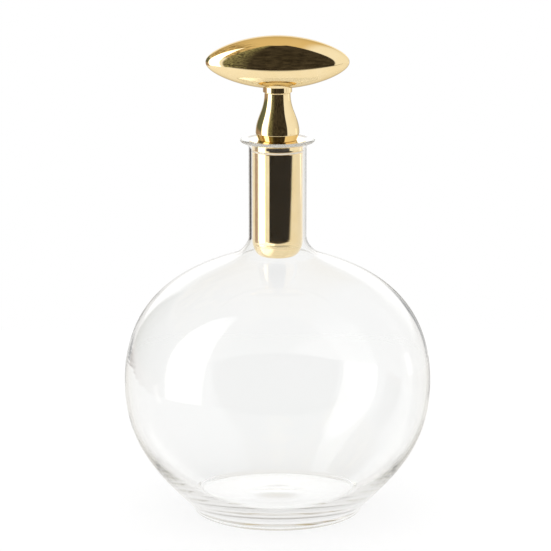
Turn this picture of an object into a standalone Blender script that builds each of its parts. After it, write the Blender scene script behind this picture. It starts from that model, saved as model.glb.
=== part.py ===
"""Round glass decanter with a gold metal stopper.

Metres, +Z up. The origin is the middle of the resting ring under the foot.
Every piece but the knob is turned about the Z axis, which is also the axis
that the stopper lifts and turns on.
"""
import bpy
import bmesh
from math import acos, cos, hypot, pi, radians, sin

# Bulb of the flask
BULB_RADIUS = 0.0800
BULB_WALL = 0.0018
EQUATOR_HEIGHT = 0.0695
SHOULDER_HEIGHT = 0.0826
SHOULDER_SLOPE = radians(27.0)
SHOULDER_RISE = 0.0545
SHOULDER_REACH = 0.0115
LOWER_FALL = 0.0285
LOWER_REACH = 0.0312
LOWER_SLOPE = radians(43.0)

# Foot and floor of the flask
FOOT_RADIUS = 0.0446
FOOT_HEIGHT = 0.0032
FOOT_WALL = 0.0055
FOOT_WALL_QUICKNESS = 4
HEEL_ROUNDING = 0.0025
RESTING_RING_WIDTH = 0.0250
PUNT_DEPTH = 0.0010
FLOOR_RADIUS = 0.0340
FLOOR_THICKNESS = 0.0055
KICK_RADIUS = 0.0170
KICK_RISE = 0.0010

# Neck and lip of the flask
NECK_LENGTH = 0.0456
NECK_WALL = 0.0016
NECK_ROOT_WIDTH = 0.0065
NECK_ROOT_HEIGHT = 0.0150
NECK_ROOT_ROUNDING = 0.0020
LIP_RADIUS = 0.0193
LIP_ROUNDING = 0.00115

# Stopper: the plug that hangs in the neck
PLUG_RADIUS = 0.01315
PLUG_LENGTH = 0.0569
PLUG_END_INSET = 0.0055
PLUG_END_HEIGHT = 0.0105
CUP_WALL = 0.0015
CUP_FLOOR = 0.0030
BOSS_RADIUS = 0.0050
BOSS_HEIGHT = 0.0060
COLLAR_SINK = 0.0006
COLLAR_RIM = 0.0008
COLLAR_CONE = 0.0007
SPIGOT_LENGTH = 0.0060
GROOVE_HEIGHT = 0.0012
GROOVE_CORE_RADIUS = 0.0120

# Stopper: the stem
STEM_HEIGHT = 0.0274
STEM_FOOT_RADIUS = 0.0099
STEM_FOOT_HEIGHT = 0.0032
PEAR_RADIUS = 0.0113
WAIST_RADIUS = 0.0067
STEM_RING_RADIUS = 0.0075
STEM_RING_HEIGHT = 0.0028
RING_FILLET = 0.0006
WAIST_PULL = 0.45
PEAR_PULL = 0.40

# Stopper: the knob
KNOB_HALF_LENGTH = 0.0369
KNOB_HALF_HEIGHT = 0.0137
KNOB_TAPER = 0.20
KNOB_SEAT_DEPTH = 0.0014

# Threaded rod that ties the stopper together
ROD_RADIUS = 0.0025
ROD_IN_KNOB = 0.0100
ROD_IN_BOSS = 0.0060
NUT_FLATS = 0.0080
NUT_HEIGHT = 0.0040
WASHER_RADIUS = 0.0050
WASHER_THICKNESS = 0.0010

# Clearances
GAP = 0.0003
PLUG_CLEARANCE = 0.0003
HOLE_END_CLEARANCE = 0.0010

# Mesh fineness
TURN_STEPS = 48
ROD_STEPS = 24
LONG_CURVE_STEPS = 12
BEND_STEPS = 6
SMALL_BEND_STEPS = 4
KNOB_STEPS = 44
KNOB_RINGS = 24

# Heights and radii that follow from the sizes above
BORE_RADIUS = PLUG_RADIUS + PLUG_CLEARANCE
NECK_RADIUS = BORE_RADIUS + NECK_WALL
NECK_FOOT = EQUATOR_HEIGHT + SHOULDER_HEIGHT
MOUTH_HEIGHT = NECK_FOOT + NECK_LENGTH
LIP_CENTRE_RADIUS = LIP_RADIUS - LIP_ROUNDING
FLARE_RADIUS = LIP_CENTRE_RADIUS - NECK_RADIUS
FLARE_DEPTH = FLARE_RADIUS + 2 * LIP_ROUNDING
FLARE_FOOT = MOUTH_HEIGHT - FLARE_DEPTH
COLLAR_TOP = MOUTH_HEIGHT - COLLAR_SINK
CUP_TOP = FLARE_FOOT - GROOVE_HEIGHT - GAP
PLUG_BOTTOM = FLARE_FOOT - PLUG_LENGTH
CUP_BORE_RADIUS = PLUG_RADIUS - CUP_WALL
SPIGOT_RADIUS = CUP_BORE_RADIUS - GAP
SPIGOT_BOTTOM = FLARE_FOOT - GROOVE_HEIGHT - SPIGOT_LENGTH
ROD_HOLE_RADIUS = ROD_RADIUS + GAP
STEM_BOTTOM = COLLAR_TOP + GAP
STEM_TOP = STEM_BOTTOM + STEM_HEIGHT
KNOB_SEAT = STEM_TOP + GAP
KNOB_CENTRE = KNOB_SEAT - KNOB_SEAT_DEPTH + KNOB_HALF_HEIGHT
BOSS_TOP = PLUG_BOTTOM + CUP_FLOOR + BOSS_HEIGHT
ROD_TOP = KNOB_SEAT + ROD_IN_KNOB
ROD_BOTTOM = BOSS_TOP - ROD_IN_BOSS


def clear_scene():
    """Removes every object of the scene."""
    for item in list(bpy.data.objects):
        bpy.data.objects.remove(item, do_unlink=True)


def principled(name, colour, roughness, metallic=0.0, transmission=0.0, ior=1.45):
    """Material with one Principled BSDF."""
    material = bpy.data.materials.new(name)
    material.use_nodes = True
    shader = material.node_tree.nodes["Principled BSDF"]
    shader.inputs["Base Color"].default_value = (*colour, 1.0)
    shader.inputs["Roughness"].default_value = roughness
    shader.inputs["Metallic"].default_value = metallic
    shader.inputs["Transmission Weight"].default_value = transmission
    shader.inputs["IOR"].default_value = ior
    return material


def arc(centre, radii, start, end, steps):
    """Points of an elliptical arc in the outline's plane, both ends included; angles in radians."""
    return [
        (centre[0] + radii[0] * cos(angle), centre[1] + radii[1] * sin(angle))
        for angle in (start + (end - start) * i / steps for i in range(steps + 1))
    ]


def bezier(start, start_handle, end_handle, end, steps):
    """Points of a cubic curve, both ends included."""
    points = []
    for i in range(steps + 1):
        t = i / steps
        weights = ((1 - t) ** 3, 3 * t * (1 - t) ** 2, 3 * t * t * (1 - t), t ** 3)
        corners = (start, start_handle, end_handle, end)
        points.append(tuple(sum(w * p[k] for w, p in zip(weights, corners)) for k in (0, 1)))
    return points


def dome(radius, base, rise, steps):
    """Outline of a soft round swelling, from its edge to the axis."""
    radii = [radius * (1 - i / steps) for i in range(steps + 1)]
    return [(r, base + rise * (1 + cos(pi * r / radius)) / 2) for r in radii]


def moved_inwards(outline, first_wall, last_wall, quickness=1):
    """Outline moved to its left by a wall that goes from its first to its last thickness."""
    last = len(outline) - 1
    moved = []
    for i, (r, z) in enumerate(outline):
        before = outline[max(i - 1, 0)]
        after = outline[min(i + 1, last)]
        dr, dz = after[0] - before[0], after[1] - before[1]
        wall = last_wall + (first_wall - last_wall) * (1 - i / last) ** quickness
        moved.append((r - dz / hypot(dr, dz) * wall, z + dr / hypot(dr, dz) * wall))
    return moved


def mesh_object(name, bm, material, sharp_angle=radians(32.0)):
    """Object from a bmesh, smooth shaded with sharp edges kept."""
    bmesh.ops.recalc_face_normals(bm, faces=bm.faces)
    mesh = bpy.data.meshes.new(name)
    bm.to_mesh(mesh)
    bm.free()
    mesh.shade_smooth()
    mesh.set_sharp_from_angle(angle=sharp_angle)
    mesh.materials.append(material)
    item = bpy.data.objects.new(name, mesh)
    bpy.context.collection.objects.link(item)
    return item


def turned(name, outline, material, steps=TURN_STEPS):
    """Solid turned about the Z axis; the outline may begin and end on the axis or be a ring's."""
    bm = bmesh.new()
    corners = [bm.verts.new((r, 0.0, z)) for r, z in outline]
    edges = [bm.edges.new(pair) for pair in zip(corners, corners[1:])]
    if outline[0][0] > 0.0:
        edges.append(bm.edges.new((corners[-1], corners[0])))
    bmesh.ops.spin(
        bm, geom=corners + edges, cent=(0, 0, 0), axis=(0, 0, 1), angle=2 * pi, steps=steps, use_merge=True
    )
    bmesh.ops.remove_doubles(bm, verts=bm.verts, dist=1e-6)
    return mesh_object(name, bm, material)


def cutter(name, bm):
    """Object that only cuts others."""
    bmesh.ops.recalc_face_normals(bm, faces=bm.faces)
    mesh = bpy.data.meshes.new(name)
    bm.to_mesh(mesh)
    bm.free()
    item = bpy.data.objects.new(name, mesh)
    item.hide_render = True
    item.display_type = "WIRE"
    bpy.context.collection.objects.link(item)
    return item


def cylinder_cutter(name, radius, bottom, top, steps=TURN_STEPS):
    """Upright round cutter on the Z axis."""
    bm = bmesh.new()
    bmesh.ops.create_cone(
        bm, cap_ends=True, segments=steps, radius1=radius, radius2=radius, depth=top - bottom
    )
    bmesh.ops.translate(bm, verts=bm.verts, vec=(0, 0, (bottom + top) / 2))
    return cutter(name, bm)


def cut(item, tool):
    """Boolean difference kept as a modifier; the cutter goes with its piece."""
    modifier = item.modifiers.new(tool.name, "BOOLEAN")
    modifier.operation = "DIFFERENCE"
    modifier.solver = "EXACT"
    modifier.object = tool
    tool.parent = item


def axis_empty(name, parent=None):
    """Empty on the Z axis, which carries the pieces that move together."""
    empty = bpy.data.objects.new(name, None)
    empty.parent = parent
    bpy.context.collection.objects.link(empty)
    return empty


def stepped(point, length, slope):
    """Point moved by a length along a slope, outwards and up."""
    return (point[0] + length * cos(slope), point[1] + length * sin(slope))


def lower_bulb_outline():
    """Outer outline from the top of the foot up to the bulb's widest ring."""
    foot = (FOOT_RADIUS, FOOT_HEIGHT)
    widest = (BULB_RADIUS, EQUATOR_HEIGHT)
    widest_handle = (BULB_RADIUS, EQUATOR_HEIGHT - LOWER_FALL)
    return bezier(foot, stepped(foot, LOWER_REACH, LOWER_SLOPE), widest_handle, widest, LONG_CURVE_STEPS)


def shoulder_outline():
    """Outer outline from the bulb's widest ring up to the foot of the straight neck."""
    widest = (BULB_RADIUS, EQUATOR_HEIGHT)
    widest_handle = (BULB_RADIUS, EQUATOR_HEIGHT + SHOULDER_RISE)
    root = (NECK_RADIUS + NECK_ROOT_WIDTH, NECK_FOOT - NECK_ROOT_HEIGHT)
    neck = (NECK_RADIUS, NECK_FOOT)
    neck_handle = (NECK_RADIUS, NECK_FOOT - NECK_ROOT_HEIGHT / 2)
    shoulder_handle = stepped(root, SHOULDER_REACH, -SHOULDER_SLOPE)
    root_handle = stepped(root, -NECK_ROOT_ROUNDING, -SHOULDER_SLOPE)
    shoulder = bezier(widest, widest_handle, shoulder_handle, root, LONG_CURVE_STEPS)
    return shoulder + bezier(root, root_handle, neck_handle, neck, BEND_STEPS)[1:]


def flask_outline():
    """Whole outline of the glass, from the middle of the underside round the lip to the floor."""
    punt_radius = FOOT_RADIUS - HEEL_ROUNDING - RESTING_RING_WIDTH
    punt = dome(punt_radius, 0.0, PUNT_DEPTH, BEND_STEPS)[::-1]
    heel_centre = (FOOT_RADIUS - HEEL_ROUNDING, HEEL_ROUNDING)
    heel = arc(heel_centre, (HEEL_ROUNDING, HEEL_ROUNDING), -pi / 2, 0.0, SMALL_BEND_STEPS)
    lower_bulb = lower_bulb_outline()
    shoulder = shoulder_outline()

    flare_centre = (LIP_CENTRE_RADIUS, FLARE_FOOT)
    lip_under = arc(flare_centre, (FLARE_RADIUS, FLARE_RADIUS), pi, pi / 2, SMALL_BEND_STEPS)
    lip_centre = (LIP_CENTRE_RADIUS, MOUTH_HEIGHT - LIP_ROUNDING)
    lip = arc(lip_centre, (LIP_ROUNDING, LIP_ROUNDING), -pi / 2, pi / 2, BEND_STEPS)
    mouth = flare(0.0, pi / 2)

    inner_shoulder = moved_inwards(shoulder, BULB_WALL, NECK_WALL)[::-1]
    inner_bulb = moved_inwards(lower_bulb, FOOT_WALL, BULB_WALL, FOOT_WALL_QUICKNESS)[::-1]
    kick = dome(KICK_RADIUS, FLOOR_THICKNESS, KICK_RISE, SMALL_BEND_STEPS)
    floor = [(FLOOR_RADIUS, FLOOR_THICKNESS)] + kick

    outside = punt + heel + lower_bulb + shoulder[1:] + lip_under + lip[1:]
    inside = mouth[1:] + inner_shoulder + inner_bulb[1:] + floor
    return outside + inside


def flare(clearance, highest_angle):
    """Inner flare of the mouth, from above down to its foot, moved inwards by a clearance."""
    radii = (LIP_CENTRE_RADIUS - BORE_RADIUS + clearance, FLARE_DEPTH + clearance)
    return arc((LIP_CENTRE_RADIUS, FLARE_FOOT), radii, highest_angle, pi, BEND_STEPS)


def collar_outline():
    """Collar whose rim rests in the flared mouth, with the seal's groove and the spigot under it."""
    rim_foot = COLLAR_TOP - COLLAR_RIM
    rise = (rim_foot - FLARE_FOOT) / (FLARE_DEPTH + PLUG_CLEARANCE)
    rim_radius = flare(PLUG_CLEARANCE, pi / 2 + acos(rise))[0][0]
    groove_bottom = FLARE_FOOT - GROOVE_HEIGHT
    return [
        (ROD_HOLE_RADIUS, COLLAR_TOP),
        (rim_radius, COLLAR_TOP),
        (rim_radius, rim_foot),
        (PLUG_RADIUS, rim_foot - COLLAR_CONE),
        (PLUG_RADIUS, FLARE_FOOT),
        (GROOVE_CORE_RADIUS, FLARE_FOOT),
        (GROOVE_CORE_RADIUS, groove_bottom),
        (SPIGOT_RADIUS, groove_bottom),
        (SPIGOT_RADIUS, SPIGOT_BOTTOM),
        (ROD_HOLE_RADIUS, SPIGOT_BOTTOM),
    ]


def cup_outline():
    """Deep cup that hangs in the neck, its lower end drawn in, with a threaded boss on its floor."""
    end_centre = (PLUG_RADIUS - PLUG_END_INSET, PLUG_BOTTOM + PLUG_END_HEIGHT)
    outer_end = arc(end_centre, (PLUG_END_INSET, PLUG_END_HEIGHT), 0.0, -pi / 2, BEND_STEPS)
    inner_radii = (PLUG_END_INSET - CUP_WALL, PLUG_END_HEIGHT - CUP_FLOOR)
    inner_end = arc(end_centre, inner_radii, -pi / 2, 0.0, SMALL_BEND_STEPS)
    hole_bottom = ROD_BOTTOM - HOLE_END_CLEARANCE
    return [
        (0.0, hole_bottom),
        (ROD_HOLE_RADIUS, hole_bottom),
        (ROD_HOLE_RADIUS, BOSS_TOP),
        (BOSS_RADIUS, BOSS_TOP),
        (BOSS_RADIUS, PLUG_BOTTOM + CUP_FLOOR),
        *inner_end,
        (CUP_BORE_RADIUS, CUP_TOP),
        (PLUG_RADIUS, CUP_TOP),
        *outer_end,
        (0.0, PLUG_BOTTOM),
    ]


def stem_outline():
    """Pear-shaped stem with a ring at its top, bored through for the rod."""
    widest = STEM_BOTTOM + STEM_FOOT_HEIGHT
    ring_foot = STEM_TOP - STEM_RING_HEIGHT
    waist = ring_foot - RING_FILLET
    swell = waist - widest
    body = bezier(
        (WAIST_RADIUS, waist),
        (WAIST_RADIUS, waist - WAIST_PULL * swell),
        (PEAR_RADIUS, widest + PEAR_PULL * swell),
        (PEAR_RADIUS, widest),
        LONG_CURVE_STEPS,
    )
    fillet_centre = (WAIST_RADIUS + RING_FILLET, waist)
    fillet = arc(fillet_centre, (RING_FILLET, RING_FILLET), pi / 2, pi, SMALL_BEND_STEPS)
    return [
        (ROD_HOLE_RADIUS, STEM_TOP),
        (STEM_RING_RADIUS, STEM_TOP),
        (STEM_RING_RADIUS, ring_foot),
        *fillet[:-1],
        *body,
        (STEM_FOOT_RADIUS, STEM_BOTTOM),
        (ROD_HOLE_RADIUS, STEM_BOTTOM),
    ]


def knob(material):
    """Oblong knob along X, slimmer towards its tips than an ellipse, with a seat and a threaded hole below."""
    bm = bmesh.new()
    bmesh.ops.create_uvsphere(bm, u_segments=KNOB_STEPS, v_segments=KNOB_RINGS, radius=1.0)
    for vert in bm.verts:
        x, y, z = vert.co
        half_height = KNOB_HALF_HEIGHT * (1 - KNOB_TAPER * z * z)
        vert.co = (z * KNOB_HALF_LENGTH, x * half_height, y * half_height + KNOB_CENTRE)
    item = mesh_object("stopper_knob", bm, material)
    below = KNOB_CENTRE - 2 * KNOB_HALF_HEIGHT
    cut(item, cylinder_cutter("knob_seat_cutter", STEM_RING_RADIUS + GAP, below, KNOB_SEAT))
    hole_top = ROD_TOP + HOLE_END_CLEARANCE
    cut(item, cylinder_cutter("knob_hole_cutter", ROD_HOLE_RADIUS, below, hole_top, ROD_STEPS))
    return item


def hexagon_nut(name, top, material):
    """Six-sided nut on the rod, just under a height."""
    bm = bmesh.new()
    corner_radius = NUT_FLATS / 2 / cos(pi / 6)
    inner, outer = [], []
    for i in range(ROD_STEPS):
        angle = 2 * pi * i / ROD_STEPS
        to_flat = (angle + pi / 6) % (pi / 3) - pi / 6
        reach = min(NUT_FLATS / 2 / cos(to_flat), corner_radius)
        inner.append((ROD_HOLE_RADIUS * cos(angle), ROD_HOLE_RADIUS * sin(angle)))
        outer.append((reach * cos(angle), reach * sin(angle)))
    levels = [[bm.verts.new((x, y, z)) for x, y in ring] for ring, z in (
        (inner, top), (outer, top), (outer, top - NUT_HEIGHT), (inner, top - NUT_HEIGHT),
    )]
    for ring, following in zip(levels, levels[1:] + levels[:1]):
        for i in range(ROD_STEPS):
            j = (i + 1) % ROD_STEPS
            bm.faces.new((ring[i], following[i], following[j], ring[j]))
    return mesh_object(name, bm, material)


def ring_outline(inner, outer, bottom, top):
    """Outline of a flat ring."""
    return [(inner, top), (outer, top), (outer, bottom), (inner, bottom)]


def rod_outline():
    """Outline of the threaded rod."""
    return [(0.0, ROD_TOP), (ROD_RADIUS, ROD_TOP), (ROD_RADIUS, ROD_BOTTOM), (0.0, ROD_BOTTOM)]


def build():
    """Makes every piece; the seal hangs on the lifting axis and the stopper on the turning axis under it."""
    clear_scene()
    glass = principled("clear_glass", (0.96, 0.97, 0.96), 0.02, transmission=1.0, ior=1.5)
    brass = {
        part: principled(f"polished_brass_{part}", (0.86, 0.62, 0.27), 0.08, metallic=1.0)
        for part in ("knob", "stem", "collar", "cup")
    }
    silicone = principled("clear_silicone", (0.85, 0.83, 0.78), 0.45)
    steel = {
        part: principled(f"plated_steel_{part}", (0.62, 0.62, 0.60), 0.35, metallic=1.0)
        for part in ("rod", "nut", "washer")
    }

    turned("glass_flask", flask_outline(), glass)

    seal_section = ring_outline(GROOVE_CORE_RADIUS + GAP, PLUG_RADIUS, CUP_TOP + GAP, FLARE_FOOT - GAP)
    seal = turned("seal_ring", seal_section, silicone)

    washer_top = SPIGOT_BOTTOM - GAP
    washer_bottom = washer_top - WASHER_THICKNESS
    washer_section = ring_outline(ROD_HOLE_RADIUS, WASHER_RADIUS, washer_bottom, washer_top)
    stopper = [
        knob(brass["knob"]),
        turned("stopper_stem", stem_outline(), brass["stem"]),
        turned("stopper_collar", collar_outline(), brass["collar"]),
        turned("plug_cup", cup_outline(), brass["cup"]),
        turned("tie_rod", rod_outline(), steel["rod"], ROD_STEPS),
        turned("clamp_washer", washer_section, steel["washer"], ROD_STEPS),
        hexagon_nut("clamp_nut", washer_bottom - GAP, steel["nut"]),
    ]

    lift_axis = axis_empty("stopper_lift_axis")
    turn_axis = axis_empty("stopper_turn_axis", lift_axis)
    seal.parent = lift_axis
    for piece in stopper:
        piece.parent = turn_axis


build()
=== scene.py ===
from math import acos, cos, hypot, pi, radians, sin

import bmesh
import bpy
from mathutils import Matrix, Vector


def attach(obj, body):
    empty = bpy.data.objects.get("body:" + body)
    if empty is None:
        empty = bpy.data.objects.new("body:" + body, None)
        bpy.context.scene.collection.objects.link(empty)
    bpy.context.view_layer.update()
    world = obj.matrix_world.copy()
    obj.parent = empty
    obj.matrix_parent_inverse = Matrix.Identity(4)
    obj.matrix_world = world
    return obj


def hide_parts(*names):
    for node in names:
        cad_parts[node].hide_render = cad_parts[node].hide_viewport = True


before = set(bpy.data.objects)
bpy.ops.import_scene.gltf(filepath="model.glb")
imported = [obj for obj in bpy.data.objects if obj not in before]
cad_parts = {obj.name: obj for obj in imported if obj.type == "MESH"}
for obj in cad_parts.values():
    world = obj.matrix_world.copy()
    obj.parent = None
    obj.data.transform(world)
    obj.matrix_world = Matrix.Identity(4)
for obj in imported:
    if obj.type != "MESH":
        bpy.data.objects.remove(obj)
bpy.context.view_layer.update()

# Sizes of the flask, in metres, as in the solids but for a tighter neck root and a thinner lip and collar rim
BULB_RADIUS, BULB_WALL, EQUATOR_HEIGHT, SHOULDER_HEIGHT = 0.0800, 0.0018, 0.0695, 0.0770
SHOULDER_SLOPE, SHOULDER_RISE, SHOULDER_REACH = radians(27.0), 0.0545, 0.0115
LOWER_FALL, LOWER_REACH, LOWER_SLOPE = 0.0285, 0.0312, radians(43.0)
FOOT_RADIUS, FOOT_HEIGHT, FOOT_WALL, FOOT_WALL_QUICKNESS = 0.0446, 0.0032, 0.0055, 4
HEEL_ROUNDING, RESTING_RING_WIDTH, PUNT_DEPTH = 0.0025, 0.0250, 0.0010
FLOOR_RADIUS, FLOOR_THICKNESS, KICK_RADIUS, KICK_RISE = 0.0340, 0.0055, 0.0170, 0.0010
NECK_LENGTH, NECK_WALL = 0.0512, 0.0016
NECK_ROOT_WIDTH, NECK_ROOT_HEIGHT, NECK_ROOT_ROUNDING = 0.0065, 0.0094, 0.0020
LIP_RADIUS, LIP_ROUNDING, LIP_HALF_THICKNESS = 0.0193, 0.00115, 0.00085

# Sizes of the stopper, with the gaps between its pieces closed to hairlines
PLUG_RADIUS, PLUG_LENGTH, PLUG_END_INSET, PLUG_END_HEIGHT = 0.01315, 0.0569, 0.0055, 0.0105
CUP_WALL, CUP_FLOOR = 0.0015, 0.0030
BOSS_RADIUS, BOSS_HEIGHT, COLLAR_SINK, COLLAR_RIM, COLLAR_CONE = 0.0050, 0.0060, 0.0006, 0.0006, 0.0004
SPIGOT_LENGTH = 0.0060
GROOVE_HEIGHT, GROOVE_CORE_RADIUS = 0.0012, 0.0120
STEM_HEIGHT, STEM_FOOT_RADIUS, STEM_FOOT_HEIGHT, PEAR_RADIUS = 0.0274, 0.0099, 0.0032, 0.0113
WAIST_RADIUS, STEM_RING_RADIUS, STEM_RING_HEIGHT, RING_FILLET = 0.0067, 0.0075, 0.0028, 0.0006
WAIST_PULL, PEAR_PULL = 0.45, 0.40
KNOB_HALF_LENGTH, KNOB_HALF_HEIGHT, KNOB_TAPER, KNOB_SEAT_DEPTH = 0.0369, 0.0137, 0.20, 0.0014
ROD_RADIUS, ROD_IN_KNOB, ROD_IN_BOSS = 0.0025, 0.0100, 0.0060
GAP, PLUG_CLEARANCE, HOLE_END_CLEARANCE = 0.0003, 0.0003, 0.0010
HAIRLINE = 0.00004
SEAL_SHOWN = 0.0009
EDGE_BREAK, SEAL_EDGE_BREAK = 0.00025, 0.0002

# Fineness of the surfaces
TURN_STEPS = 256
METAL_TURN_STEPS = 160
LONG_CURVE_STEPS = 72
BEND_STEPS = 20
ROUND_STEPS = 10
CORNER_STEPS = 4
LONGEST_STEP, EDGE_SUPPORT = 0.0018, 0.0002
KNOB_STEPS = 176
KNOB_RINGS = 60
TURN_SOFTENINGS = 3
BROKEN_FROM_ANGLE, SHARP_FROM_ANGLE = radians(38.0), radians(50.0)
ON_AXIS = 1e-7

BORE_RADIUS = PLUG_RADIUS + PLUG_CLEARANCE
NECK_RADIUS = BORE_RADIUS + NECK_WALL
NECK_FOOT = EQUATOR_HEIGHT + SHOULDER_HEIGHT
MOUTH_HEIGHT = NECK_FOOT + NECK_LENGTH
LIP_CENTRE_RADIUS = LIP_RADIUS - LIP_ROUNDING
FLARE_RADIUS = LIP_CENTRE_RADIUS - NECK_RADIUS
FLARE_DEPTH = FLARE_RADIUS + 2 * LIP_ROUNDING
FLARE_FOOT = MOUTH_HEIGHT - FLARE_DEPTH
COLLAR_TOP = MOUTH_HEIGHT - COLLAR_SINK
CUP_TOP = FLARE_FOOT - GROOVE_HEIGHT - GAP
PLUG_BOTTOM = FLARE_FOOT - PLUG_LENGTH
CUP_BORE_RADIUS = PLUG_RADIUS - CUP_WALL
SPIGOT_RADIUS = CUP_BORE_RADIUS - GAP
SPIGOT_BOTTOM = FLARE_FOOT - GROOVE_HEIGHT - SPIGOT_LENGTH
ROD_HOLE_RADIUS = ROD_RADIUS + GAP
STEM_BOTTOM = COLLAR_TOP + GAP
STEM_TOP = STEM_BOTTOM + STEM_HEIGHT
KNOB_SEAT = STEM_TOP + GAP
KNOB_CENTRE = KNOB_SEAT - KNOB_SEAT_DEPTH + KNOB_HALF_HEIGHT
BOSS_TOP = PLUG_BOTTOM + CUP_FLOOR + BOSS_HEIGHT
ROD_TOP = KNOB_SEAT + ROD_IN_KNOB
ROD_BOTTOM = BOSS_TOP - ROD_IN_BOSS

# Camera: the photograph's viewing angle
CAMERA_HEIGHT_ANGLE = radians(12.5)
CAMERA_DISTANCE = 1.612
CAMERA_TARGET = Vector((0.0, 0.0, 0.12511))
CAMERA_LENS, CAMERA_SENSOR = 202.5, 36.0
FRAME_PIXELS = 551
AXIS_RIGHT_PIXELS, TARGET_DOWN_PIXELS = 2.0, 0.5

# Studio, in metres; azimuths in degrees go from the front (0) over the right (90) to the back
LIGHT_BOUNCES = 96
WHITE = (1.0, 1.0, 1.0)
TABLE_FRONT, TABLE_LEFT, TABLE_RIGHT, TABLE_BACK = -0.46, -0.42, 1.6, 0.40
TABLE_EDGE_FADE = 0.12
TABLE_GLOW, TABLE_GLOW_IN_GLASS, BACK_EDGE_IN_GLASS = 0.83, 0.778, 0.748
# Painted reflection of the soft light on the table top: its strength, and where it lies left of and in front of the
# object
TABLE_PAINTED_REFLECTION, PAINTED_REFLECTION_LEFT_OF, PAINTED_REFLECTION_IN_FRONT_OF = 1.0, (-0.03, -0.12), (0.03, 0.0)
# Painted shadow on the table under the foot, and how soft its edge is
FOOT_SHADE, FOOT_SHADE_SOFTNESS = 0.36, 0.003
# Painted shade on what the glass mirrors from within, darker still after three or more mirrorings
PAINTED_SHADE_INSIDE_GLASS, PAINTED_SHADE_DEEP_IN_GLASS = (0.82, 0.80, 0.77), (0.66, 0.65, 0.61)

# The two soft lights, each with its corners as distance across and height
SOFT_WHITE = (1.0, 0.985, 0.96)
SOFTBOX_AZIMUTH, SOFTBOX_DISTANCE, SOFTBOX_LIGHT = -73.0, 0.90, 3.2
SOFTBOX_OUTLINE = (
    (-0.24, -0.18), (-0.29, 0.35), (-0.30, 1.75), (-0.16, 2.55),
    (0.17, 1.17), (0.26, 0.60), (0.28, 0.20), (0.28, -0.18),
)
STRIP_AZIMUTH, STRIP_DISTANCE, STRIP_LIGHT = 116.0, 1.20, 1.7
STRIP_OUTLINE = ((-0.06, -0.45), (0.06, -0.45), (0.06, 0.20), (-0.06, 0.20))
LIGHT_FADE, LIGHT_LEFT_ABOVE = (1.3, 2.4), 0.4
LIGHT_CUT_BEHIND_GLASS, LIGHT_CUT = (1.35, 1.75), 0.9

# The room as it is mirrored, in degrees: from azimuth, to azimuth, softness; from height, to height, softness
FRONT_ROOM, FRONT_ROOM_TOP = (-50.0, 54.0, 1.5), (81.0, 85.0)
FRONT_ROOM_TURNED, FRONT_ROOM_TURN = (-16.0, -7.0, 1.0), 14.0
BEHIND_LEFT, BEHIND_LEFT_TOP, BEHIND_LEFT_IN_GLASS = (-150.0, -95.0, 3.0), (24.0, 32.0), (-112.0, -118.0)
BEHIND_RIGHT = (166.0, 174.0, 2.0), (-11.5, -2.5, 1.2)
FAR_LEFT = (-173.0, -164.0, 3.0), (-9.3, -4.5, 2.0)
LEFT_POST = (-163.0, -137.0, 2.0), (-17.0, -7.0, 1.5)
RIGHT_POST = (160.0, 168.0, 1.5), (-12.0, 1.0, 1.5)
BACKDROP, BACKDROP_LIGHT = (3.0, 24.0, 3.0), (1.7, 1.7, 1.7)
LEAVES, BARE_LEVEL = (-22.0, -44.0), (-12.8, -9.2, 0.6)
CEILING_FROM, CEILING_LEFT_OF = (22.0, 36.0), (0.45, 0.25)

# Tones of the room
WHITE_IN_GLASS, HIGH_WHITE_IN_GLASS = (0.96, 0.96, 0.96), (0.86, 0.86, 0.86)
ROOM_DARK, ROOM_PALER, ROOM_BEHIND_GLASS = (0.026, 0.021, 0.015), (0.075, 0.064, 0.048), (0.016, 0.012, 0.005)
LEAF_TONE = (0.50, 0.50, 0.28)
CEILING_TONE, BEAM_TONE = (0.77, 0.61, 0.34), (0.20, 0.14, 0.06)
HEDGE_LOW, HEDGE_HIGH = (0.44, 0.33, 0.28), (0.15, 0.17, 0.12)
FAR_LEFT_TONE, BEHIND_RIGHT_TONE, POST_TONE = (0.58, 0.57, 0.55), (0.34, 0.33, 0.31), (0.045, 0.05, 0.055)
WHITE_AROUND = (0.95, 0.95, 0.95)

# Looks of the pieces
GLASS_IOR, GLASS_MIRROR_TONE = 1.46, (0.5, 0.5, 0.5)
GLASS_BODY_TONE, GLASS_BODY_DENSITY = (0.855, 0.845, 0.82), 13.0
FOOT_WORKED_BELOW, NECK_WORKED_ABOVE = (0.020, 0.004), (0.150, 0.172)
BRASS_TONE, BRASS_CLOUD_TONE, BRASS_HAIR_TONE = (0.940, 0.765, 0.455), (0.905, 0.715, 0.385), (0.95, 0.80, 0.54)
HAIR_SHARE, HAIR_ROUGHNESS = 0.125, 0.025
DARK_EDGE, PALE_EDGE = (0.52, 0.46, 0.36), WHITE
# The seal's warm glow is painted light, not a lamp
SILICONE_IOR, SILICONE_PAINTED_GLOW_TONE, SILICONE_PAINTED_GLOW = 1.41, (1.0, 0.84, 0.62), 0.25
ROD_THREAD_PITCH = 0.0008


# Outlines

def arc(centre, radii, start, end, steps):
    return [
        (centre[0] + radii[0] * cos(angle), centre[1] + radii[1] * sin(angle))
        for angle in (start + (end - start) * i / steps for i in range(steps + 1))
    ]


def bezier(start, start_handle, end_handle, end, steps):
    points = []
    for i in range(steps + 1):
        t = i / steps
        weights = ((1 - t) ** 3, 3 * t * (1 - t) ** 2, 3 * t * t * (1 - t), t ** 3)
        corners = (start, start_handle, end_handle, end)
        points.append(tuple(sum(w * p[k] for w, p in zip(weights, corners)) for k in (0, 1)))
    return points


def dome(radius, base, rise):
    """Low hill from its edge to the axis, level at both."""
    radii = [radius * (1 - i / BEND_STEPS) for i in range(BEND_STEPS + 1)]
    return [(r, base + rise * (1 + cos(pi * r / radius)) / 2) for r in radii]


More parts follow.
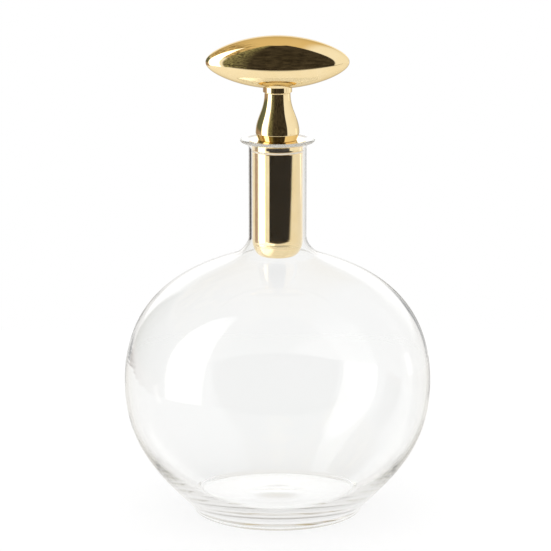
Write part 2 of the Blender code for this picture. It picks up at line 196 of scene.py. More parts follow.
def moved_inwards(outline, first_wall, last_wall, quickness=1):
    """Inner face of a wall whose thickness passes from its first value to its last."""
    last = len(outline) - 1
    moved = []
    for i, (r, z) in enumerate(outline):
        before, after = outline[max(i - 1, 0)], outline[min(i + 1, last)]
        dr, dz = after[0] - before[0], after[1] - before[1]
        wall = last_wall + (first_wall - last_wall) * (1 - i / last) ** quickness
        moved.append((r - dz / hypot(dr, dz) * wall, z + dr / hypot(dr, dz) * wall))
    return moved


def stepped(point, length, slope):
    return (point[0] + length * cos(slope), point[1] + length * sin(slope))


def softened(outline, times):
    """Corners cut again and again, the two ends kept."""
    for _ in range(times):
        cut = [outline[0]]
        for a, b in zip(outline, outline[1:]):
            cut.append(tuple(0.75 * p + 0.25 * q for p, q in zip(a, b)))
            cut.append(tuple(0.25 * p + 0.75 * q for p, q in zip(a, b)))
        outline = cut + [outline[-1]]
    return outline


def rounded_corner(before, corner, after, radius):
    """Small round edge in place of a corner."""
    ends = []
    for other in (before, after):
        length = hypot(other[0] - corner[0], other[1] - corner[1])
        share = min(radius / length, 0.45)
        ends.append(tuple(c + (o - c) * share for c, o in zip(corner, other)))
    points = []
    for i in range(CORNER_STEPS + 1):
        t = i / CORNER_STEPS
        points.append(tuple(
            (1 - t) ** 2 * a + 2 * t * (1 - t) * c + t * t * b for a, c, b in zip(ends[0], corner, ends[1])
        ))
    return points


def broken_edges(outline, radius, closed):
    """Outline with each sharp corner rounded off a little, as polishing leaves it."""
    count = len(outline)
    result = []
    for i, point in enumerate(outline):
        if not closed and i in (0, count - 1):
            result.append(point)
            continue
        before, after = outline[i - 1], outline[(i + 1) % count]
        a = (point[0] - before[0], point[1] - before[1])
        b = (after[0] - point[0], after[1] - point[1])
        turn = acos(max(-1.0, min(1.0, (a[0] * b[0] + a[1] * b[1]) / (hypot(*a) * hypot(*b)))))
        result.extend(rounded_corner(before, point, after, radius) if turn > BROKEN_FROM_ANGLE else [point])
    return result


def evened(outline, closed):
    """Outline with its long steps divided, and a support point beside each end of them."""
    result = []
    pairs = list(zip(outline, outline[1:] + outline[:1]))
    for a, b in pairs if closed else pairs[:-1]:
        length = hypot(b[0] - a[0], b[1] - a[1])
        result.append(a)
        if length > LONGEST_STEP:
            shares = [EDGE_SUPPORT / length]
            count = int(length / LONGEST_STEP) + 1
            shares += [i / count for i in range(1, count)]
            shares.append(1 - EDGE_SUPPORT / length)
            result += [tuple(p + (q - p) * s for p, q in zip(a, b)) for s in shares]
    return result if closed else result + [outline[-1]]


def flare(clearance, highest_angle):
    """Funnel of the mouth, from its upper end down to the bore, moved inwards by a clearance."""
    radii = (LIP_CENTRE_RADIUS - BORE_RADIUS + clearance, FLARE_DEPTH + clearance)
    return arc((LIP_CENTRE_RADIUS, FLARE_FOOT), radii, highest_angle, pi, BEND_STEPS)


def flask_outline():
    punt = dome(FOOT_RADIUS - HEEL_ROUNDING - RESTING_RING_WIDTH, 0.0, PUNT_DEPTH)[::-1]
    heel_centre = (FOOT_RADIUS - HEEL_ROUNDING, HEEL_ROUNDING)
    heel = arc(heel_centre, (HEEL_ROUNDING, HEEL_ROUNDING), -pi / 2, 0.0, ROUND_STEPS)
    foot = (FOOT_RADIUS, FOOT_HEIGHT)
    widest = (BULB_RADIUS, EQUATOR_HEIGHT)
    lower = bezier(
        foot, stepped(foot, LOWER_REACH, LOWER_SLOPE), (BULB_RADIUS, EQUATOR_HEIGHT - LOWER_FALL), widest,
        LONG_CURVE_STEPS,
    )
    root = (NECK_RADIUS + NECK_ROOT_WIDTH, NECK_FOOT - NECK_ROOT_HEIGHT)
    shoulder = bezier(
        widest, (BULB_RADIUS, EQUATOR_HEIGHT + SHOULDER_RISE), stepped(root, SHOULDER_REACH, -SHOULDER_SLOPE),
        root, LONG_CURVE_STEPS,
    ) + bezier(
        root, stepped(root, -NECK_ROOT_ROUNDING, -SHOULDER_SLOPE), (NECK_RADIUS, NECK_FOOT - NECK_ROOT_HEIGHT / 2),
        (NECK_RADIUS, NECK_FOOT), BEND_STEPS,
    )[1:]
    under_rise = FLARE_RADIUS + 2 * (LIP_ROUNDING - LIP_HALF_THICKNESS)
    lip_under = arc((LIP_CENTRE_RADIUS, FLARE_FOOT), (FLARE_RADIUS, under_rise), pi, pi / 2, BEND_STEPS)
    lip_centre = (LIP_CENTRE_RADIUS, MOUTH_HEIGHT - LIP_HALF_THICKNESS)
    lip = arc(lip_centre, (LIP_ROUNDING, LIP_HALF_THICKNESS), -pi / 2, pi / 2, ROUND_STEPS)
    inner_shoulder = moved_inwards(shoulder, BULB_WALL, NECK_WALL)[::-1]
    inner_lower = moved_inwards(lower, FOOT_WALL, BULB_WALL, FOOT_WALL_QUICKNESS)[::-1]
    kick = dome(KICK_RADIUS, FLOOR_THICKNESS, KICK_RISE)
    turn = softened([*inner_lower[-2:], (FLOOR_RADIUS, FLOOR_THICKNESS), kick[0]], TURN_SOFTENINGS)
    outside = punt + heel + lower[1:] + shoulder[1:] + lip_under + lip[1:]
    inside = flare(0.0, pi / 2)[1:] + inner_shoulder + inner_lower[1:-2] + turn[:-1] + kick
    return outside + inside


def collar_outline():
    rim_foot = COLLAR_TOP - COLLAR_RIM
    rim_radius = flare(PLUG_CLEARANCE, pi / 2 + acos((rim_foot - FLARE_FOOT) / (FLARE_DEPTH + PLUG_CLEARANCE)))[0][0]
    groove_foot = FLARE_FOOT - GROOVE_HEIGHT
    return [
        (ROD_HOLE_RADIUS, COLLAR_TOP), (rim_radius, COLLAR_TOP), (rim_radius, rim_foot),
        (PLUG_RADIUS, rim_foot - COLLAR_CONE), (PLUG_RADIUS, FLARE_FOOT), (GROOVE_CORE_RADIUS, FLARE_FOOT),
        (GROOVE_CORE_RADIUS, groove_foot), (SPIGOT_RADIUS, groove_foot), (SPIGOT_RADIUS, SPIGOT_BOTTOM),
        (ROD_HOLE_RADIUS, SPIGOT_BOTTOM),
    ]


def cup_outline():
    end_centre = (PLUG_RADIUS - PLUG_END_INSET, PLUG_BOTTOM + PLUG_END_HEIGHT)
    outer_end = arc(end_centre, (PLUG_END_INSET, PLUG_END_HEIGHT), 0.0, -pi / 2, BEND_STEPS)
    inner_end = arc(end_centre, (PLUG_END_INSET - CUP_WALL, PLUG_END_HEIGHT - CUP_FLOOR), -pi / 2, 0.0, ROUND_STEPS)
    hole_bottom = ROD_BOTTOM - HOLE_END_CLEARANCE
    top = FLARE_FOOT - SEAL_SHOWN - 2 * HAIRLINE
    return [
        (0.0, hole_bottom), (ROD_HOLE_RADIUS, hole_bottom), (ROD_HOLE_RADIUS, BOSS_TOP), (BOSS_RADIUS, BOSS_TOP),
        (BOSS_RADIUS, PLUG_BOTTOM + CUP_FLOOR), *inner_end, (CUP_BORE_RADIUS, CUP_TOP),
        (GROOVE_CORE_RADIUS + GAP, CUP_TOP), (GROOVE_CORE_RADIUS + GAP, top), (PLUG_RADIUS, top),
        *outer_end, (0.0, PLUG_BOTTOM),
    ]


def stem_outline():
    bottom = COLLAR_TOP + HAIRLINE
    top = KNOB_SEAT - HAIRLINE
    widest = STEM_BOTTOM + STEM_FOOT_HEIGHT
    ring_foot = STEM_TOP - STEM_RING_HEIGHT
    waist = ring_foot - RING_FILLET
    swell = waist - widest
    body = bezier(
        (WAIST_RADIUS, waist), (WAIST_RADIUS, waist - WAIST_PULL * swell),
        (PEAR_RADIUS, widest + PEAR_PULL * swell), (PEAR_RADIUS, widest), LONG_CURVE_STEPS,
    )
    fillet = arc((WAIST_RADIUS + RING_FILLET, waist), (RING_FILLET, RING_FILLET), pi / 2, pi, ROUND_STEPS)
    return [
        (ROD_HOLE_RADIUS, top), (STEM_RING_RADIUS, top), (STEM_RING_RADIUS, ring_foot), *fillet[:-1], *body,
        (STEM_FOOT_RADIUS, bottom), (ROD_HOLE_RADIUS, bottom),
    ]


def seal_outline():
    inner, outer = GROOVE_CORE_RADIUS + GAP, PLUG_RADIUS + PLUG_CLEARANCE / 3
    bottom, top = FLARE_FOOT - SEAL_SHOWN - HAIRLINE, FLARE_FOOT - HAIRLINE
    return [(inner, top), (outer, top), (outer, bottom), (inner, bottom)]


# Meshes

def circle(bm, radius, z, steps):
    return [
        bm.verts.new((radius * cos(2 * pi * i / steps), radius * sin(2 * pi * i / steps), z)) for i in range(steps)
    ]


def lathed(name, outline, closed, steps):
    """Surface turned about the Z axis, with single points on the axis."""
    bm = bmesh.new()
    rings = [[bm.verts.new((0.0, 0.0, z))] if r < ON_AXIS else circle(bm, r, z, steps) for r, z in outline]
    for ring, following in zip(rings, rings[1:] + rings[:1] if closed else rings[1:]):
        bridge(bm, ring, following)
    return finished(name, bm)


def bridge(bm, ring, following):
    """Faces between two rings, either of which may be a single point."""
    steps = max(len(ring), len(following))
    for i in range(steps):
        j = (i + 1) % steps
        if len(ring) == 1:
            bm.faces.new((ring[0], following[i], following[j]))
        elif len(following) == 1:
            bm.faces.new((ring[i], following[0], ring[j]))
        else:
            bm.faces.new((ring[i], following[i], following[j], ring[j]))


def finished(name, bm):
    bmesh.ops.recalc_face_normals(bm, faces=bm.faces)
    mesh = bpy.data.meshes.new(name)
    bm.to_mesh(mesh)
    bm.free()
    mesh.shade_smooth()
    mesh.set_sharp_from_angle(angle=SHARP_FROM_ANGLE)
    piece = bpy.data.objects.new(name, mesh)
    bpy.context.scene.collection.objects.link(piece)
    return piece


def knob_mesh(name):
    """Oblong egg, a little slimmer towards its tips than an ellipse, made of rings round the Z axis."""
    a, b = KNOB_HALF_LENGTH, KNOB_HALF_HEIGHT
    seat_radius = STEM_RING_RADIUS + GAP
    bm = bmesh.new()

    def taper(u):
        return 1 - KNOB_TAPER * u * u

    def egg_height(u, v):
        return b * max(0.0, (1 - u * u) * taper(u) ** 2 - v * v) ** 0.5

    def egg_ring(inner_radius, share, side):
        """Ring between the circle of inner_radius and the egg's widest outline, on the egg's upper or lower side."""
        ring = []
        for i in range(KNOB_STEPS):
            angle = 2 * pi * i / KNOB_STEPS
            inner = (inner_radius * cos(angle) / a, inner_radius * sin(angle) / b)
            u = inner[0] + (cos(angle) - inner[0]) * share
            v = inner[1] + (sin(angle) * taper(cos(angle)) - inner[1]) * share
            ring.append(bm.verts.new((u * a, v * b, KNOB_CENTRE + side * egg_height(u, v))))
        return ring

    hole_top = ROD_TOP + HOLE_END_CLEARANCE
    rings = [[bm.verts.new((0.0, 0.0, hole_top))], circle(bm, ROD_HOLE_RADIUS, hole_top, KNOB_STEPS)]
    for radius in (ROD_HOLE_RADIUS, seat_radius - EDGE_BREAK, seat_radius):
        rings.append(circle(bm, radius, KNOB_SEAT, KNOB_STEPS))
    edge = []
    for i in range(KNOB_STEPS):
        angle = 2 * pi * i / KNOB_STEPS
        x, y = seat_radius * cos(angle), seat_radius * sin(angle)
        surface = KNOB_CENTRE - egg_height(x / a, y / b)
        edge.append(bm.verts.new((x, y, min(KNOB_SEAT - EDGE_BREAK, surface + EDGE_BREAK))))
    rings.append(edge)
    for k in range(KNOB_RINGS + 1):
        rings.append(egg_ring(seat_radius + EDGE_BREAK, sin(pi / 2 * k / KNOB_RINGS), -1))
    for k in range(1, KNOB_RINGS):
        rings.append(egg_ring(0.0, cos(pi / 2 * k / KNOB_RINGS), 1))
    rings.append([bm.verts.new((0.0, 0.0, KNOB_CENTRE + b))])
    for ring, following in zip(rings, rings[1:]):
        bridge(bm, ring, following)
    return finished(name, bm)


# Materials

class Nodes:
    """A few words for building node trees."""

    def __init__(self, tree):
        self.tree = tree

    def add(self, kind, **settings):
        node = self.tree.nodes.new(kind)
        for key, value in settings.items():
            setattr(node, key, value)
        return node

    def link(self, source, target):
        self.tree.links.new(source, target)

    def put(self, value, socket):
        if isinstance(value, bpy.types.NodeSocket):
            self.link(value, socket)
        else:
            socket.default_value = value

    def math(self, operation, a, b=None, clamp=False):
        node = self.add("ShaderNodeMath", operation=operation, use_clamp=clamp)
        self.put(a, node.inputs[0])
        if b is not None:
            self.put(b, node.inputs[1])
        return node.outputs[0]

    def ramp(self, value, low, high, to_low=0.0, to_high=1.0, smooth=False):
        node = self.add("ShaderNodeMapRange", interpolation_type="SMOOTHSTEP" if smooth else "LINEAR")
        self.put(value, node.inputs["Value"])
        for key, number in (("From Min", low), ("From Max", high), ("To Min", to_low), ("To Max", to_high)):
            self.put(number, node.inputs[key])
        return node.outputs["Result"]

    def times(self, a, b):
        return self.math("MULTIPLY", a, b)

    def without(self, share):
        """The rest of a share, so 0 for 1 and 1 for 0."""
        return self.math("SUBTRACT", 1.0, share)

    def smooth(self, value, low, high):
        """0 at low, 1 at high, and a soft passage between them."""
        return self.ramp(value, low, high, smooth=True)

    def between(self, value, low, high, soft):
        """1 where low < value < high, with soft edges."""
        return self.times(self.smooth(value, low - soft, low + soft),
                          self.ramp(value, high - soft, high + soft, 1.0, 0.0, smooth=True))

    def mix(self, share, a, b):
        node = self.add("ShaderNodeMix", data_type="RGBA")
        self.put(share, node.inputs["Factor"])
        for value, socket in ((a, node.inputs["A"]), (b, node.inputs["B"])):
            self.put((*value, 1.0) if isinstance(value, tuple) and len(value) == 3 else value, socket)
        return node.outputs["Result"]

    def noise(self, vector, scale, detail=3.0, roughness=0.5):
        node = self.add("ShaderNodeTexNoise")
        self.link(vector, node.inputs["Vector"])
        node.inputs["Scale"].default_value = scale
        node.inputs["Detail"].default_value = detail
        node.inputs["Roughness"].default_value = roughness
        return node.outputs["Fac"]

    def bump(self, height, strength, distance, normal=None):
        node = self.add("ShaderNodeBump")
        node.inputs["Strength"].default_value = strength
        node.inputs["Distance"].default_value = distance
        self.link(height, node.inputs["Height"])
        if normal is not None:
            self.link(normal, node.inputs["Normal"])
        return node.outputs["Normal"]

    def mirrored(self, path):
        """1 for light that anything has mirrored, 0 for all other light."""
        return self.math("MINIMUM", path.outputs["Glossy Depth"], 1.0)

    def behind_glass(self, path):
        """1 for light that has passed more than one wall of the glass, 0 for all other light."""
        return self.ramp(path.outputs["Transmission Depth"], 3.0, 3.5)

    def inside_glass(self, path, least=1):
        """1 for light that a wall of the glass mirrors from within at least so many times, 0 for all other light."""
        return self.times(self.between(path.outputs["Transmission Depth"], 1.5, 2.5, 0.1),
                          self.ramp(path.outputs["Glossy Depth"], least - 0.6, least - 0.4))

    def painted_shade_in_glass(self, path):
        """Painted shade: the darker tone given to what a wall of the glass mirrors from within."""
        return self.mix(self.inside_glass(path, 3), PAINTED_SHADE_INSIDE_GLASS, PAINTED_SHADE_DEEP_IN_GLASS)

    def place(self):
        """Position on the piece, in metres."""
        return self.add("ShaderNodeTexCoord").outputs["Object"]

    def split(self, vector):
        node = self.add("ShaderNodeSeparateXYZ")
        self.link(vector, node.inputs[0])
        return node.outputs[0], node.outputs[1], node.outputs[2]

    def joined(self, x, y, z):
        node = self.add("ShaderNodeCombineXYZ")
        for value, socket in zip((x, y, z), node.inputs):
            self.put(value, socket)
        return node.outputs[0]

    def radius(self, x, y):
        return self.math("SQRT", self.math("ADD", self.times(x, x), self.times(y, y)))

    def turned_place(self, round_scale):
        """Radius and height, with a little of the way round, so that a pattern runs round the Z axis."""
        x, y, z = self.split(self.place())
        return self.joined(self.radius(x, y), self.times(self.math("ARCTAN2", y, x), round_scale), z)


def material(name):
    made = bpy.data.materials.new(name)
    made.use_nodes = True
    nodes = Nodes(made.node_tree)
    return made, nodes, made.node_tree.nodes["Principled BSDF"]


def empty_tree(owner):
    """Nodes of a new material or world, with nothing in its tree."""
    owner.use_nodes = True
    owner.node_tree.nodes.clear()
    return Nodes(owner.node_tree)


def glass_material():
    """Clear blown glass: even and bright, slightly wavy, with soft rings where the foot and neck were worked."""
    made, n, shader = material("blown_glass")
    place = n.place()
    tint = n.noise(place, 22.0, 2.0)
    n.link(n.mix(tint, WHITE, (0.986, 0.992, 0.988)), shader.inputs["Base Color"])
    n.link(n.ramp(n.noise(place, 60.0, 4.0), 0.3, 0.8, 0.0, 0.02), shader.inputs["Roughness"])
    shader.inputs["IOR"].default_value = GLASS_IOR
    shader.inputs["Specular Tint"].default_value = (*GLASS_MIRROR_TONE, 1.0)
    shader.inputs["Transmission Weight"].default_value = 1.0
    height = n.split(place)[2]
    worked = n.math("ADD", n.smooth(height, *FOOT_WORKED_BELOW), n.smooth(height, *NECK_WORKED_ABOVE), clamp=True)
    rings = n.times(n.noise(n.turned_place(0.004), 420.0, 2.0), worked)
    waves = n.bump(n.noise(place, 26.0, 1.0), 0.30, 0.0004)
    n.link(n.bump(rings, 0.03, 0.00012, waves), shader.inputs["Normal"])
    body = n.add("ShaderNodeVolumeAbsorption")
    body.inputs["Color"].default_value = (*GLASS_BODY_TONE, 1.0)
    body.inputs["Density"].default_value = GLASS_BODY_DENSITY
    n.link(body.outputs[0], made.node_tree.nodes["Material Output"].inputs["Volume"])
    return made


def brass_material(name, line_scale, round_scale, roughness, edge_tone):
    """Polished gold-coloured brass: fine polishing lines, a few hair scratches and faint cloudy tarnish."""
    made, n, shader = material(name)
    place = n.place()
    cloud = n.noise(place, 95.0, 4.0, 0.6)
    lines = n.noise(n.turned_place(round_scale), line_scale, 2.0, 0.6)
    hairs = n.ramp(n.noise(n.turned_place(round_scale * 2.3), line_scale * 0.37, 6.0, 0.75), 0.60, 0.72)
    tone = n.mix(n.ramp(cloud, 0.35, 0.75), BRASS_TONE, BRASS_CLOUD_TONE)
    n.link(n.mix(n.times(hairs, HAIR_SHARE), tone, BRASS_HAIR_TONE), shader.inputs["Base Color"])
    haze = n.ramp(cloud, 0.3, 0.8, roughness * 0.6, roughness * 1.6)
    n.link(n.math("ADD", haze, n.times(hairs, HAIR_ROUGHNESS)), shader.inputs["Roughness"])
    shader.inputs["Metallic"].default_value = 1.0
    shader.inputs["Specular Tint"].default_value = (*edge_tone, 1.0)
    shader.inputs["Coat Weight"].default_value = 0.25
    shader.inputs["Coat Roughness"].default_value = 0.03
    ripple = n.bump(n.noise(place, 180.0, 2.0), 0.10, 0.00010)
    n.link(n.bump(lines, 0.10, 0.00002, ripple), shader.inputs["Normal"])
    return made


def silicone_material():
    """Milky silicone with a moulded satin skin, and a faint warm painted glow, though the seal is no lamp."""
    made, n, shader = material("milky_silicone")
    place = n.place()
    cloud = n.noise(place, 700.0, 3.0)
    n.link(n.mix(cloud, (1.0, 0.94, 0.84), (0.97, 0.90, 0.78)), shader.inputs["Base Color"])
    n.link(n.ramp(cloud, 0.3, 0.7, 0.40, 0.60), shader.inputs["Roughness"])
    shader.inputs["IOR"].default_value = SILICONE_IOR
    # Painted light: the seal glows warm, though it is no lamp
    shader.inputs["Emission Color"].default_value = (*SILICONE_PAINTED_GLOW_TONE, 1.0)
    shader.inputs["Emission Strength"].default_value = SILICONE_PAINTED_GLOW
    n.link(n.bump(n.noise(place, 3000.0, 2.0), 0.15, 0.00004), shader.inputs["Normal"])
    return made


def steel_material(name, pitch=None):
    """Zinc-plated steel: spangled grey, satin, with a fine thread where it has a pitch."""
    made, n, shader = material(name)
    place = n.place()
    spangle = n.noise(place, 900.0, 3.0)
    n.link(n.mix(spangle, (0.66, 0.66, 0.64), (0.54, 0.55, 0.55)), shader.inputs["Base Color"])
    n.link(n.ramp(spangle, 0.3, 0.7, 0.26, 0.42), shader.inputs["Roughness"])
    shader.inputs["Metallic"].default_value = 1.0
    normal = n.bump(n.noise(place, 2600.0, 2.0), 0.12, 0.00003)
    if pitch:
        x, y, z = n.split(place)
        turns = n.math("DIVIDE", n.math("ARCTAN2", y, x), 2 * pi)
        thread = n.math("PINGPONG", n.math("ADD", n.math("DIVIDE", z, pitch), turns), 0.5)
        normal = n.bump(thread, 0.9, 0.0008, normal)
    n.link(normal, shader.inputs["Normal"])
    return made


# Studio

def stage_plane(name, corners, made):
    mesh = bpy.data.meshes.new(name)
    mesh.from_pydata(corners, [], [tuple(range(len(corners)))])
    mesh.materials.append(made)
    item = bpy.data.objects.new(name, mesh)
    bpy.context.scene.collection.objects.link(item)
    return item


def table_material():
    """White table top: paper white to the eye, and still a surface that takes the object's shadow."""
    made = bpy.data.materials.new("white_table")
    n = empty_tree(made)
    path = n.add("ShaderNodeLightPath")
    x, y, _ = n.split(n.place())
    plain = n.times(n.math("MAXIMUM", path.outputs["Is Camera Ray"], path.outputs["Is Glossy Ray"]), TABLE_GLOW)
    in_glass = n.ramp(y, -0.1, TABLE_BACK, TABLE_GLOW_IN_GLASS, BACK_EDGE_IN_GLASS)
    seen = n.mix(path.outputs["Is Transmission Ray"], plain, in_glass)
    # Painted reflection: a glowing patch left of and in front of the object, shown only in light mirrored behind the
    # glass
    painted_reflection = n.times(n.ramp(x, *PAINTED_REFLECTION_LEFT_OF, 0.0, TABLE_PAINTED_REFLECTION, smooth=True), n.smooth(y, *PAINTED_REFLECTION_IN_FRONT_OF))
    seen = n.math("ADD", seen, n.times(painted_reflection, n.times(n.mirrored(path), n.behind_glass(path))))

    unmirrored = n.without(path.outputs["Glossy Depth"])
    near_edge = n.math("MAXIMUM", n.smooth(y, TABLE_FRONT, TABLE_FRONT + TABLE_EDGE_FADE), unmirrored)
    # Painted shadow: the table under the foot is shown darker in light that the glass mirrors from within
    under_foot = n.smooth(n.radius(x, y), FOOT_RADIUS + FOOT_SHADE_SOFTNESS, FOOT_RADIUS - FOOT_SHADE_SOFTNESS)
    lit = n.ramp(n.times(under_foot, n.inside_glass(path)), 0.0, 1.0, 1.0, 1.0 - FOOT_SHADE)

    skin = n.add("ShaderNodeBsdfDiffuse")
    grain = n.noise(n.place(), 40.0, 3.0)
    n.link(n.mix(grain, (0.23, 0.23, 0.227), (0.22, 0.22, 0.22)), skin.inputs["Color"])
    glow = n.add("ShaderNodeEmission")
    # Painted shade on the table where the glass mirrors it from within
    n.link(n.mix(n.inside_glass(path), WHITE, n.painted_shade_in_glass(path)), glow.inputs["Color"])
    n.link(n.times(n.times(seen, near_edge), lit), glow.inputs["Strength"])
    both = n.add("ShaderNodeAddShader")
    n.link(skin.outputs[0], both.inputs[0])
    n.link(glow.outputs[0], both.inputs[1])
    n.link(both.outputs[0], n.add("ShaderNodeOutputMaterial").inputs["Surface"])
    return made


def panel_material(name, strength):
    """Glow that shows only in what is mirrored, but not deep in the glass, and fades towards its top."""
    made = bpy.data.materials.new(name)
    n = empty_tree(made)
    path = n.add("ShaderNodeLightPath")
    height = n.split(n.place())[2]
    cut_short = n.times(n.behind_glass(path), n.ramp(height, *LIGHT_CUT_BEHIND_GLASS, 0.0, LIGHT_CUT, smooth=True))
    fade = n.ramp(height, *LIGHT_FADE, strength, LIGHT_LEFT_ABOVE * strength)
    glow = n.add("ShaderNodeEmission")
    glow.inputs["Color"].default_value = (*SOFT_WHITE, 1.0)
    n.link(n.times(fade, n.without(cut_short)), glow.inputs["Strength"])
    surface = n.add("ShaderNodeMixShader")
    n.link(n.math("SUBTRACT", n.mirrored(path), n.inside_glass(path, 2)), surface.inputs[0])
    n.link(n.add("ShaderNodeBsdfTransparent").outputs[0], surface.inputs[1])
    n.link(glow.outputs[0], surface.inputs[2])
    n.link(surface.outputs[0], n.add("ShaderNodeOutputMaterial").inputs["Surface"])
    return made


def panel(name, azimuth, distance, outline, strength):
    """Upright soft light that faces the object."""
    angle = radians(azimuth)
    middle = Vector((sin(angle), -cos(angle), 0.0)) * distance
    side = Vector((cos(angle), sin(angle), 0.0))
    corners = [(middle + across * side + Vector((0, 0, z)))[:] for across, z in outline]
    item = stage_plane(name, corners, panel_material(name, strength))
    item.visible_camera = False
    item.visible_shadow = False


def mirrored_room(n, path, direction):
    """Colour of the room in mirrors: dark in front, warm above, with a few darker things behind the object."""
    x, y, z = n.split(direction)
    height = n.times(n.math("ARCSINE", z), 180 / pi)
    around = n.times(n.math("ARCTAN2", x, n.times(y, -1.0)), 180 / pi)
    behind_glass = n.behind_glass(path)

    def patch(azimuths, heights):
        return n.times(n.between(around, *azimuths), n.between(height, *heights))

    def below(heights):
        return n.ramp(height, *heights, 1.0, 0.0, smooth=True)

    turned = n.times(behind_glass, n.between(height, *FRONT_ROOM_TURNED))
    around_front = n.math("SUBTRACT", around, n.times(turned, FRONT_ROOM_TURN))
    front = n.times(n.between(around_front, *FRONT_ROOM), below(FRONT_ROOM_TOP))
    behind_left = n.times(n.between(around, *BEHIND_LEFT), below(BEHIND_LEFT_TOP))
    cut_short = n.times(behind_glass, n.smooth(around, *BEHIND_LEFT_IN_GLASS))
    behind_left = n.times(behind_left, n.without(cut_short))

    bare = n.math("MAXIMUM", n.between(height, *BARE_LEVEL), behind_glass)
    trees = n.times(n.ramp(around, *LEAVES), n.without(bare))
    leaves = n.times(n.ramp(n.noise(direction, 26.0, 5.0, 0.7), 0.42, 0.62), trees)
    shades = n.mix(n.ramp(n.noise(direction, 7.0, 3.0, 0.6), 0.35, 0.70), ROOM_DARK, ROOM_PALER)
    room = n.mix(leaves, n.mix(behind_glass, shades, ROOM_BEHIND_GLASS), LEAF_TONE)

    streaks = n.noise(n.joined(n.times(x, 1.5), n.times(y, 9.0), n.times(z, 9.0)), 3.0, 3.0)
    beams = n.times(n.smooth(streaks, 0.46, 0.56), n.smooth(x, -0.15, -0.45))
    warm = n.times(n.smooth(height, *CEILING_FROM), n.smooth(x, *CEILING_LEFT_OF))
    backdrop = n.times(n.between(height, *BACKDROP), n.ramp(y, 0.70, 0.85))

    seen = n.mix(backdrop, WHITE, BACKDROP_LIGHT)
    seen = n.mix(warm, seen, n.mix(beams, CEILING_TONE, BEAM_TONE))
    seen = n.mix(behind_left, seen, n.mix(n.ramp(height, -6.0, -1.0), HEDGE_LOW, HEDGE_HIGH))
    seen = n.mix(patch(*FAR_LEFT), seen, FAR_LEFT_TONE)
    seen = n.mix(patch(*BEHIND_RIGHT), seen, BEHIND_RIGHT_TONE)
    seen = n.mix(front, seen, room)
    within = n.mix(n.math("MAXIMUM", patch(*LEFT_POST), patch(*RIGHT_POST)), n.painted_shade_in_glass(path), POST_TONE)
    return n.mix(n.inside_glass(path), seen, within)


def studio_world():
    """White straight through the glass and to the eye, and the room in anything mirrored."""
    world = bpy.data.worlds.new("studio")
    bpy.context.scene.world = world
    n = empty_tree(world)
    path = n.add("ShaderNodeLightPath")
    direction = n.add("ShaderNodeTexCoord").outputs["Generated"]
    height = n.times(n.math("ARCSINE", n.split(direction)[2]), 180 / pi)
    through = n.mix(n.smooth(height, 10.0, 40.0), WHITE_IN_GLASS, HIGH_WHITE_IN_GLASS)
    by_glass = n.math("MAXIMUM", path.outputs["Is Glossy Ray"], path.outputs["Is Transmission Ray"])
    seen = n.mix(by_glass, WHITE_AROUND, through)
    seen = n.mix(n.mirrored(path), seen, mirrored_room(n, path, direction))
    seen = n.mix(path.outputs["Is Camera Ray"], seen, WHITE)
    background = n.add("ShaderNodeBackground")
    n.link(seen, background.inputs["Color"])
    n.link(background.outputs[0], n.add("ShaderNodeOutputWorld").inputs["Surface"])


def camera():
    data = bpy.data.cameras.new("camera")
    data.lens, data.sensor_width = CAMERA_LENS, CAMERA_SENSOR
    data.shift_x = -AXIS_RIGHT_PIXELS / FRAME_PIXELS
    data.shift_y = TARGET_DOWN_PIXELS / FRAME_PIXELS
    data.clip_start, data.clip_end = 0.05, 50.0
    item = bpy.data.objects.new("camera", data)
    back = Vector((0.0, -cos(CAMERA_HEIGHT_ANGLE), sin(CAMERA_HEIGHT_ANGLE)))
    item.location = CAMERA_TARGET + back * CAMERA_DISTANCE
    item.rotation_euler = (-back).to_track_quat("-Z", "Y").to_euler()
    bpy.context.scene.collection.objects.link(item)
    bpy.context.scene.camera = item


# The scene

def turned_piece(name, outline, closed, edge_break=EDGE_BREAK):
    """Turned piece of the stopper with its edges rounded off a little."""
    section = evened(broken_edges(outline, edge_break, closed), closed)
    return lathed(name, section, closed, METAL_TURN_STEPS)


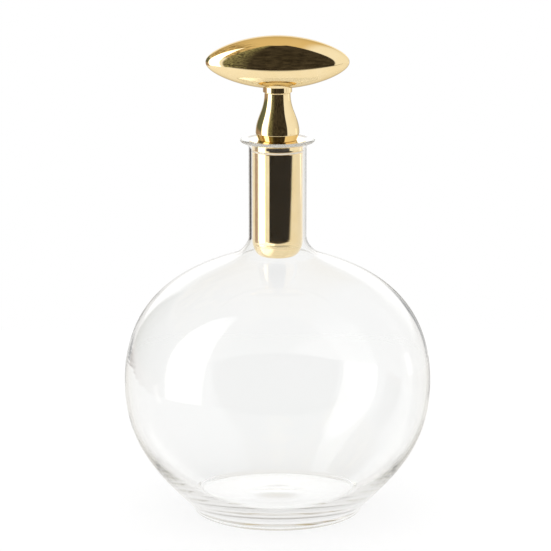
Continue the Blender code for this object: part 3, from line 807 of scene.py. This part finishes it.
def dress(piece, made, slot, body, *nodes):
    piece.data.materials.append(made)
    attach(piece, body)
    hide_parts(*nodes)


def main():
    scene = bpy.context.scene
    scene.view_settings.view_transform = "Standard"
    scene.cycles.max_bounces = LIGHT_BOUNCES
    scene.cycles.transmission_bounces = LIGHT_BOUNCES
    scene.cycles.glossy_bounces = LIGHT_BOUNCES

    camera()
    studio_world()
    stage_plane("table", [
        (TABLE_LEFT, TABLE_FRONT, 0.0), (TABLE_RIGHT, TABLE_FRONT, 0.0),
        (TABLE_RIGHT, TABLE_BACK, 0.0), (TABLE_LEFT, TABLE_BACK, 0.0),
    ], table_material())
    panel("left_softbox", SOFTBOX_AZIMUTH, SOFTBOX_DISTANCE, SOFTBOX_OUTLINE, SOFTBOX_LIGHT)
    panel("right_strip", STRIP_AZIMUTH, STRIP_DISTANCE, STRIP_OUTLINE, STRIP_LIGHT)

    flask = lathed("blown_flask", evened(flask_outline(), False), False, TURN_STEPS)
    dress(flask, glass_material(), "clear_glass", "flask", "glass_flask")

    seal = turned_piece("milky_seal", seal_outline(), True, SEAL_EDGE_BREAK)
    dress(seal, silicone_material(), "clear_silicone", "seal", "seal_ring")

    knob = knob_mesh("polished_knob")
    stem = turned_piece("polished_stem", stem_outline(), True)
    collar = turned_piece("polished_collar", collar_outline(), True)
    plug = turned_piece("polished_plug", cup_outline(), False)
    brass_pieces = (
        (knob, "stopper_knob", "brass_knob", 900.0, 0.010, 0.045, DARK_EDGE),
        (stem, "stopper_stem", "brass_stem", 1500.0, 0.004, 0.040, DARK_EDGE),
        (collar, "stopper_collar", "brass_collar", 1500.0, 0.004, 0.040, PALE_EDGE),
        (plug, "plug_cup", "brass_plug", 1800.0, 0.004, 0.050, PALE_EDGE),
    )
    for piece, node, *look in brass_pieces:
        dress(piece, brass_material(*look), "polished_brass", "stopper", node)

    for node, pitch in (("tie_rod", ROD_THREAD_PITCH), ("clamp_washer", None), ("clamp_nut", None)):
        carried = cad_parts[node]
        carried.data.materials.clear()
        carried.data.materials.append(steel_material(f"zinc_{node}", pitch))


main()
